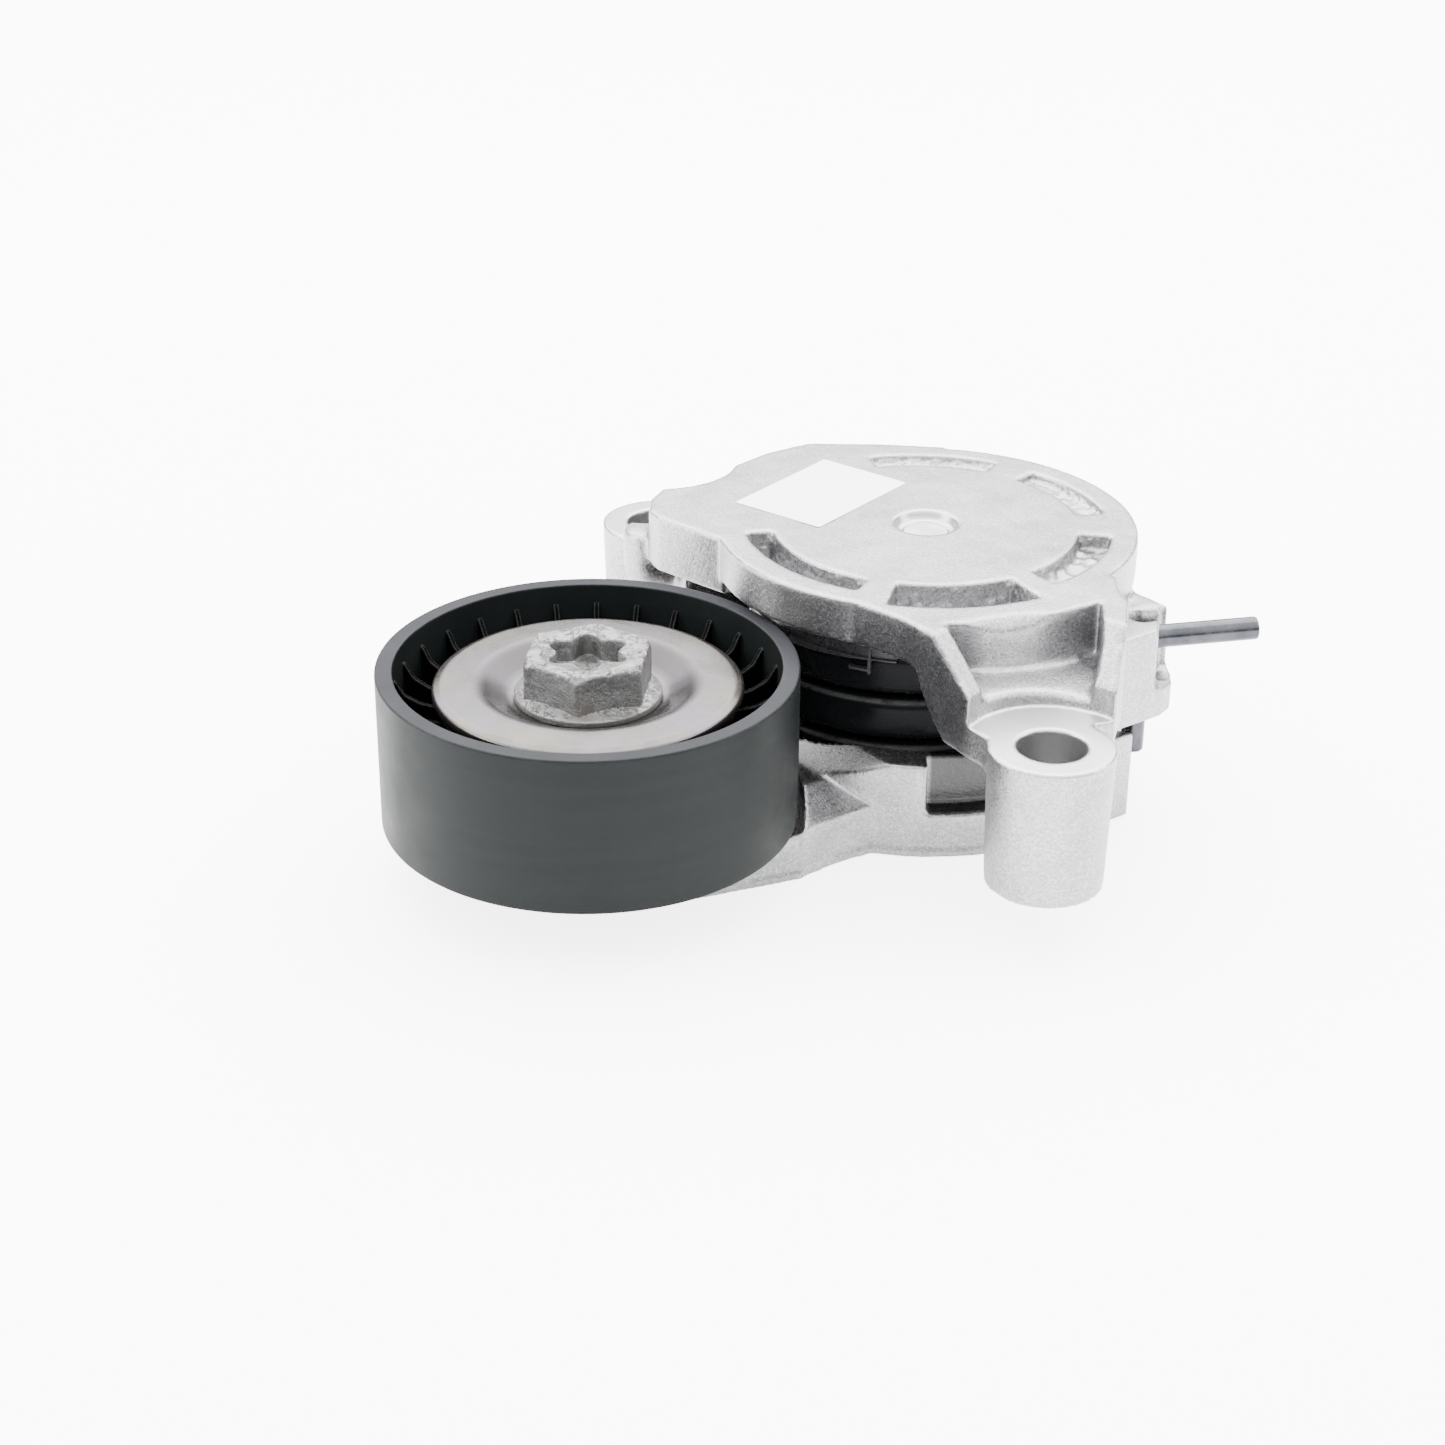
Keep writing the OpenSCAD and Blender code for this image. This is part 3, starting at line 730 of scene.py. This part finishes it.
def pulley_plastic():
    """Dark glass-filled nylon: black inside as painted shade, grey on the rim's top, with nicks, worn edges and
    painted highlights on the rib tops.
    """
    s = Shader("pulley_plastic")
    radius, _ = s.radius_from(PULLEY)
    z = s.split(s.place)[2]
    inside = s.span(radius, 29.9, 29.5)
    rim_top = s.product(s.span(z, 25.9, 25.98), s.span(radius, 29.5, 29.9))
    flow = s.noise(1.0, 3, 0.5, s.vector("MULTIPLY", s.place, (0.03, 0.03, 0.55)))
    cloud = s.noise(9, 4, 0.55)
    colour = s.mix(s.span(cloud, 0.3, 0.7), (0.005, 0.0064, 0.0062), (0.0075, 0.009, 0.0088))
    colour = s.over(colour, (0.012, 0.0138, 0.0135), s.span(flow, 0.4, 0.7), 0.15)
    # painted shade: the inside of the pulley is made nearly black
    colour = s.over(colour, grey(0.001), inside, 0.95)
    colour = s.over(colour, (0.026, 0.0265, 0.030), rim_top, 0.75)
    worn = s.product(s.edges(0.3), s.span(s.noise(2.5, 4, 0.7), 0.42, 0.62))
    colour = s.over(colour, grey(0.07), worn, 0.45)
    colour = s.over(colour, grey(0.05), s.span(s.noise(1.3, 5, 0.8), 0.70, 0.76), 0.20)
    # painted highlight along the upper edges of the ribs inside the pulley
    rib_top_highlights = s.product(inside, s.edges(0.22), s.span(z, 16, 19))
    colour = s.over(colour, (0.05, 0.052, 0.05), rib_top_highlights, 0.8)
    shine = s.math("SUBTRACT", s.span(inside, 0.0, 1.0, 0.10, 0.005), s.product(rim_top, 0.05))
    normal = s.bump(s.noise(0.35, 2, 0.6), 0.012, 0.6)
    normal = s.bump(flow, 0.003, 0.3, normal)
    return s.finish(colour, 0.0, s.span(cloud, 0.3, 0.7, 0.40, 0.54), normal, Specular_IOR_Level=shine)


def stamped_steel():
    """Passivated sheet with violet and straw tints, fine pits, painted shade in its dished ring, and bright edges.
    """
    s = Shader("stamped_steel")
    radius, angle = s.radius_from(PULLEY)
    around = s.add("ShaderNodeCombineXYZ", {0: s.product(radius, 5.0), 1: s.product(angle, 1.2)}).outputs[0]
    cloud = s.noise(7, 4, 0.6, distortion=0.8)
    tint = s.noise(9, 2, 0.5, distortion=0.5)
    colour = s.mix(s.span(cloud, 0.32, 0.68), (0.062, 0.059, 0.055), (0.100, 0.096, 0.091))
    colour = s.over(colour, (0.098, 0.082, 0.108), s.span(tint, 0.52, 0.66), 0.45)
    colour = s.over(colour, (0.112, 0.095, 0.066), s.span(tint, 0.46, 0.34), 0.45)
    colour = s.over(colour, (0.068, 0.066, 0.061), s.span(s.noise(0.7, 4, 0.7), 0.60, 0.75), 0.35)
    colour = s.over(colour, (0.36, 0.35, 0.34), s.edges(0.3), 0.4)
    # painted shade over the dished ring of the pressing
    dish_shade = s.product(s.span(radius, 12.0, 13.6), s.span(radius, 18.0, 16.4))
    colour = s.over(colour, (0.032, 0.028, 0.030), dish_shade, 0.8)
    colour = s.over(colour, grey(0.04), s.span(s.noise(0.45, 3, 0.7), 0.36, 0.28), 0.3)
    normal = s.bump(s.noise(1.0, 3, 0.6, around), 0.03, 0.4)
    normal = s.bump(s.noise(0.5, 3, 0.6), 0.02, 0.5, normal)
    return s.finish(colour, 0.92, s.span(cloud, 0.3, 0.7, 0.22, 0.34), normal)


def zinc_plated_steel():
    """Scuffed zinc plating: thin dark scratches, bruised and bright edges, a duller flange."""
    s = Shader("zinc_plated_steel")
    cloud = s.noise(4, 5, 0.6, distortion=0.4)
    edge = s.edges(0.5)
    colour = s.mix(s.span(cloud, 0.32, 0.68), (0.15, 0.154, 0.15), (0.22, 0.224, 0.217))
    colour = s.over(colour, (0.25, 0.195, 0.17), s.span(s.noise(6, 2), 0.55, 0.7), 0.3)
    wander = s.noise(1.3, 5, 0.7, s.vector("MULTIPLY", s.place, (0.6, 0.6, 1.3)), 1.2)
    lines = s.span(s.math("ABSOLUTE", s.math("SUBTRACT", wander, 0.5)), 0.038, 0.008)
    scratches = s.product(lines, s.span(s.noise(2.6, 3), 0.38, 0.50))
    colour = s.over(colour, (0.03, 0.03, 0.028), scratches, 0.85)
    bruise = s.product(edge, s.span(s.noise(0.8, 4, 0.7), 0.48, 0.56))
    colour = s.over(colour, (0.03, 0.03, 0.028), bruise, 0.85)
    bright = s.product(edge, s.span(s.noise(1.1, 4, 0.7), 0.52, 0.40))
    colour = s.over(colour, (0.50, 0.50, 0.49), bright, 0.7)
    flange = s.span(s.split(s.place)[2], 22.2, 21.8)
    colour = s.over(colour, (0.075, 0.073, 0.070), flange, 0.6)
    normal = s.bump(s.math("SUBTRACT", 1.0, scratches), 0.06, 0.8)
    normal = s.bump(bruise, 0.05, 0.6, normal)
    normal = s.bump(s.noise(0.45, 3, 0.6), 0.02, 0.5, normal)
    return s.finish(colour, 0.85, s.span(cloud, 0.3, 0.7, 0.34, 0.52), normal)


def plain_metal(name, dark, light, roughness, cloud_size=4.0):
    """Turned, ground or drawn metal: cloudy colour, fine marks, bright worn edges."""
    s = Shader(name)
    cloud = s.noise(cloud_size, 4, 0.6)
    stain = s.span(s.noise(cloud_size * 0.4, 5, 0.7), 0.60, 0.72)
    marks = s.noise(0.5, 3, 0.6, s.vector("MULTIPLY", s.place, (1, 1, 4)))
    colour = s.mix(s.span(cloud, 0.3, 0.7), dark, light)
    colour = s.over(colour, tuple(0.5 * c for c in dark), stain, 0.4)
    colour = s.over(colour, tuple(min(1, 1.35 * c) for c in light), s.edges(0.2), 0.5)
    rough = s.span(cloud, 0.3, 0.7, roughness - 0.06, roughness + 0.08)
    return s.finish(colour, 1.0, rough, s.bump(marks, 0.012, 0.6))


def plain_polymer(name, dark, light, roughness):
    """Moulded plastic, rubber or friction lining: cloudy colour, moulded grain, pale worn edges."""
    s = Shader(name)
    cloud = s.noise(5, 4, 0.6)
    colour = s.mix(s.span(cloud, 0.3, 0.7), dark, light)
    colour = s.over(colour, (0.45, 0.44, 0.42), s.span(s.noise(1.6, 5, 0.75), 0.58, 0.74), 0.04)
    colour = s.over(colour, tuple(min(1, 2.2 * c) for c in light), s.edges(0.25), 0.25)
    rough = s.span(cloud, 0.3, 0.7, roughness - 0.07, roughness + 0.08)
    normal = s.bump(s.noise(0.4, 3, 0.6), 0.02, 0.6)
    return s.finish(colour, 0.0, rough, normal, Specular_IOR_Level=0.2)


def spring_steel():
    """Gloss black coating with a painted highlight along the wire's upper corners, and a few bare spots."""
    s = Shader("spring_steel")
    cloud = s.noise(6, 4, 0.6)
    up = s.facing()[2]
    colour = s.mix(s.span(cloud, 0.3, 0.7), (0.0025, 0.003, 0.0032), (0.0045, 0.005, 0.0055))
    colour = s.over(colour, (0.02, 0.019, 0.018), s.span(s.noise(1.6, 5, 0.75), 0.66, 0.72), 0.5)
    # painted highlight along the wire's upper corners, where the surface faces partly upwards
    corner = s.product(s.span(up, 0.45, 0.62), s.span(up, 0.93, 0.80))
    colour = s.over(colour, (0.035, 0.036, 0.036), corner, s.span(s.noise(2.5, 4, 0.6), 0.35, 0.5, 0.4, 1.0))
    normal = s.bump(s.noise(1.2, 3, 0.5), 0.02, 0.4)
    return s.finish(colour, 0.0, s.span(cloud, 0.3, 0.7, 0.20, 0.30), normal, Specular_IOR_Level=0.05)


def paper():
    """White label paper, a little soiled and grey along its cut edges."""
    s = Shader("paper_label")
    cloud = s.noise(3, 4, 0.6)
    colour = s.mix(s.span(cloud, 0.3, 0.7), (0.90, 0.90, 0.905), (0.93, 0.93, 0.935))
    colour = s.over(colour, (0.55, 0.54, 0.52), s.span(s.noise(2.2, 6, 0.75), 0.60, 0.75), 0.10)
    colour = s.over(colour, (0.62, 0.61, 0.60), s.edges(0.3), 0.3)
    normal = s.bump(s.noise(0.3, 3, 0.6), 0.012, 0.6)
    return s.finish(colour, 0.0, s.span(cloud, 0.3, 0.7, 0.55, 0.7), normal)


MATERIALS = {
    "cast_aluminium": cast_aluminium(),
    "pulley_plastic": pulley_plastic(),
    "stamped_steel": stamped_steel(),
    "zinc_plated_steel": zinc_plated_steel(),
    "spring_steel": spring_steel(),
    "paper_label": paper(),
    "machined_steel": plain_metal("machined_steel", (0.42, 0.42, 0.43), (0.58, 0.58, 0.59), 0.34),
    "bearing_steel": plain_metal("bearing_steel", (0.58, 0.58, 0.60), (0.70, 0.70, 0.72), 0.20),
    "pin_steel": plain_metal("pin_steel", (0.045, 0.047, 0.053), (0.08, 0.082, 0.09), 0.26, 3.0),
    "bronze": plain_metal("bronze", (0.42, 0.25, 0.11), (0.58, 0.37, 0.17), 0.42),
    "black_plastic": plain_polymer("black_plastic", (0.014, 0.014, 0.015), (0.024, 0.024, 0.025), 0.30),
    "cage_plastic": plain_polymer("cage_plastic", (0.42, 0.33, 0.16), (0.58, 0.47, 0.26), 0.45),
    "seal_rubber": plain_polymer("seal_rubber", grey(0.014), grey(0.030), 0.62),
    "friction_plastic": plain_polymer("friction_plastic", (0.16, 0.10, 0.05), (0.27, 0.18, 0.10), 0.65),
}


# ---- the pieces ----


def dress(obj, slot_name, *replaced):
    """Gives a new piece its finish, and hides the CAD nodes that it stands for."""
    obj.data.materials.clear()
    obj.data.materials.append(MATERIALS[slot_name])
    if replaced:
        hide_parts(*replaced)
    return obj


def mounted(obj, slot_name, body, *replaced):
    """Dresses a new piece and lets it ride on a body."""
    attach(dress(obj, slot_name, *replaced), body)


for node_name, node in NODES.items():
    for material_slot in node.material_slots:
        material_slot.material = MATERIALS[SLOT_OF[node_name]]
    round_edges(node, 0.12, 40)

mounted(cast_housing(), "cast_aluminium", "housing", "housing")
mounted(cast_arm(), "cast_aluminium", "arm", "tensioner_arm")
mounted(pulley_moulding(), "pulley_plastic", "pulley", "pulley")
mounted(pulley_ribs(), "pulley_plastic", "pulley")
mounted(dust_shield(), "stamped_steel", "arm", "dust_shield")
mounted(forged_bolt(), "zinc_plated_steel", "arm", "pulley_bolt")
mounted(softened("locking_pin_wire", "locking_pin", 0.22, 3), "pin_steel", "lock_pin", "locking_pin")
mounted(softened("pivot_shaft_turning", "pivot_shaft", 0.3, 2), "machined_steel", "housing", "pivot_shaft")
mounted(spring_seat_lip(), "black_plastic", "housing")
mounted(paper_label(), "paper_label", "housing", "barcode_label")

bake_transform(dress(coil_spring(), "spring_steel", "torsion_spring"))


# ---- stage, light, camera ----

VIEW_TURN = math.radians(-35.2)
VIEW_TILT = math.radians(26.7145)
VIEW_ROLL = math.radians(0.44268)
CAMERA_PLACE = (-0.2483, -0.3199, 0.208128)
CAMERA_LENS = 68.97
RIGHT = Vector((math.cos(VIEW_TURN), math.sin(VIEW_TURN), 0))
AHEAD = Vector((-math.sin(VIEW_TURN), math.cos(VIEW_TURN), 0))


def at_camera(right, ahead, up):
    """A point given to the right of, beyond and above the object, as the camera sees it."""
    return RIGHT * right + AHEAD * ahead + Vector((0, 0, up))


def camera_or_other(tree, seen, lit):
    """One value as the camera sees it and another as the object is lit by it."""
    path = tree.nodes.new("ShaderNodeLightPath")
    mix = tree.nodes.new("ShaderNodeMix")
    tree.links.new(path.outputs["Is Camera Ray"], mix.inputs["Factor"])
    mix.inputs[2].default_value = lit
    mix.inputs[3].default_value = seen
    return mix.outputs[0]


def stage_floor():
    """A wide pale floor, clear from below so that the underside can be looked at."""
    half = 3.0
    mesh = bpy.data.meshes.new("floor")
    mesh.from_pydata([(-half, -half, 0), (half, -half, 0), (half, half, 0), (-half, half, 0)], [],
                     [(0, 1, 2, 3)])
    floor = bpy.data.objects.new("floor", mesh)
    floor.location.z = FLOOR_Z * MM
    bpy.context.scene.collection.objects.link(floor)
    s = Shader("floor_paper")
    colour = s.mix(s.noise(400, 2), grey(0.88), grey(0.90))
    glow = camera_or_other(s.tree, seen=4.5, lit=1.4)
    from_below = s.add("ShaderNodeNewGeometry").outputs["Backfacing"]
    floor.data.materials.append(s.finish(
        colour, 0.0, 0.75, Emission_Color=(1, 1, 0.985, 1), Emission_Strength=glow,
        Alpha=s.math("SUBTRACT", 1.0, from_below)))


def studio_sky():
    """A dim sky low down and a bright one overhead for the object, and plain white for the camera."""
    strength, seen_white = 5.8, 1.4
    world = bpy.data.worlds.new("studio")
    world.use_nodes = True
    bpy.context.scene.world = world
    tree = world.node_tree
    coordinates = tree.nodes.new("ShaderNodeTexCoord")
    split = tree.nodes.new("ShaderNodeSeparateXYZ")
    tree.links.new(coordinates.outputs["Generated"], split.inputs[0])
    ramp = tree.nodes.new("ShaderNodeValToRGB")
    tree.links.new(split.outputs["Z"], ramp.inputs[0])
    stops = ramp.color_ramp.elements
    stops[0].position, stops[0].color = 0.0, (0.06, 0.06, 0.062, 1)
    stops[1].position, stops[1].color = 0.75, (0.90, 0.90, 0.915, 1)
    for height, level in ((0.20, 0.08), (0.42, 0.60)):
        stops.new(height).color = (level, level, 1.02 * level, 1)
    sky = tree.nodes.new("ShaderNodeMix")
    sky.data_type = "RGBA"
    tree.links.new(camera_or_other(tree, seen=1.0, lit=0.0), sky.inputs["Factor"])
    tree.links.new(ramp.outputs["Color"], sky.inputs[6])
    sky.inputs[7].default_value = (seen_white, seen_white, seen_white, 1)
    background = tree.nodes["Background"]
    background.inputs["Strength"].default_value = strength
    tree.links.new(sky.outputs[2], background.inputs["Color"])


def softbox(name, place, target, size, watts, tint=(1, 1, 1)):
    """A rectangular area light at a place, turned to a target."""
    data = bpy.data.lights.new(name, "AREA")
    data.shape = "RECTANGLE"
    data.size, data.size_y = size
    data.energy = watts
    data.color = tint
    light = bpy.data.objects.new(name, data)
    light.location = place
    light.rotation_euler = (Vector(target) - Vector(place)).to_track_quat("-Z", "Y").to_euler()
    bpy.context.scene.collection.objects.link(light)


def set_camera():
    data = bpy.data.cameras.new("camera")
    data.lens = CAMERA_LENS
    data.sensor_width = 36
    data.clip_start = 0.01
    camera = bpy.data.objects.new("camera", data)
    camera.matrix_world = (Matrix.Translation(CAMERA_PLACE)
                           @ Matrix.Rotation(VIEW_TURN, 4, "Z")
                           @ Matrix.Rotation(math.radians(90) - VIEW_TILT, 4, "X")
                           @ Matrix.Rotation(VIEW_ROLL, 4, "Z"))
    bpy.context.scene.collection.objects.link(camera)
    bpy.context.scene.camera = camera


stage_floor()
studio_sky()
softbox("top_box", at_camera(0.0, 0.40, 0.65), (0, 0, 0.02), (1.3, 0.9), 29.0, (1.0, 0.985, 1.0))
softbox("left_box", at_camera(-0.75, -0.05, 0.28), (0, 0, 0.01), (0.35, 0.6), 8.0)
softbox("right_box", at_camera(0.75, 0.0, 0.28), (0, 0, 0.01), (0.35, 0.6), 5.5)
set_camera()
